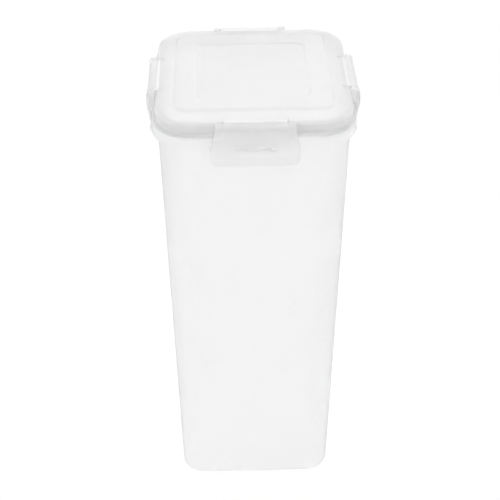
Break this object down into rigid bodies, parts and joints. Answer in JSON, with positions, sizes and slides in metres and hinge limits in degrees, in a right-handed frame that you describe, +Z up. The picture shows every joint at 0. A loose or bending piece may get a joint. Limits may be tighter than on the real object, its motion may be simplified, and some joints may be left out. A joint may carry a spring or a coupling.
{
  "type": "bread box",
  "caption": "Tall square clip-lock keeper for a loaf of bread: drafted translucent tub, sealed lid and fold-down side latches.",
  "frame": {"origin": "centre of the square base, on the surface that the keeper stands on", "axes": "+Z up along the tall tub, -Y out of the front, +X to the right as seen from the front"},
  "size_m": [0.1502, 0.1502, 0.36],
  "materials": {
    "frosted_tub": "translucent natural polypropylene, fine satin",
    "frosted_lid": "translucent natural polypropylene, semi-gloss",
    "silicone_seal": "clear silicone, satin"
  },
  "bodies": {
    "tub": {"tub": "frosted_tub"},
    "lid": {"lid": "frosted_lid", "lid_seal": "silicone_seal", "front_hinge": "frosted_lid", "right_hinge": "frosted_lid", "back_hinge": "frosted_lid", "left_hinge": "frosted_lid"},
    "front_latch": {"front_latch": "frosted_lid", "front_catch": "frosted_lid"},
    "right_latch": {"right_latch": "frosted_lid", "right_catch": "frosted_lid"},
    "back_latch": {"back_latch": "frosted_lid", "back_catch": "frosted_lid"},
    "left_latch": {"left_latch": "frosted_lid", "left_catch": "frosted_lid"}
  },
  "joints": [
    {"name": "lid_lift", "type": "slide", "parent": "tub", "child": "lid", "axis": [0, 0, 1], "range_m": [0, 0.06], "deforming": ["front_catch", "right_catch", "back_catch", "left_catch"]},
    {"name": "front_latch_hinge", "type": "hinge", "parent": "lid", "child": "front_latch", "pos_m": [0, -0.0671, 0.35647], "axis": [-1, 0, 0], "range_deg": [0, 135], "deforming": ["front_hinge"]},
    {"name": "right_latch_hinge", "type": "hinge", "parent": "lid", "child": "right_latch", "pos_m": [0.0671, 0, 0.35647], "axis": [0, -1, 0], "range_deg": [0, 135], "deforming": ["right_hinge"]},
    {"name": "back_latch_hinge", "type": "hinge", "parent": "lid", "child": "back_latch", "pos_m": [0, 0.0671, 0.35647], "axis": [1, 0, 0], "range_deg": [0, 135], "deforming": ["back_hinge"]},
    {"name": "left_latch_hinge", "type": "hinge", "parent": "lid", "child": "left_latch", "pos_m": [-0.0671, 0, 0.35647], "axis": [0, 1, 0], "range_deg": [0, 135], "deforming": ["left_hinge"]}
  ]
}
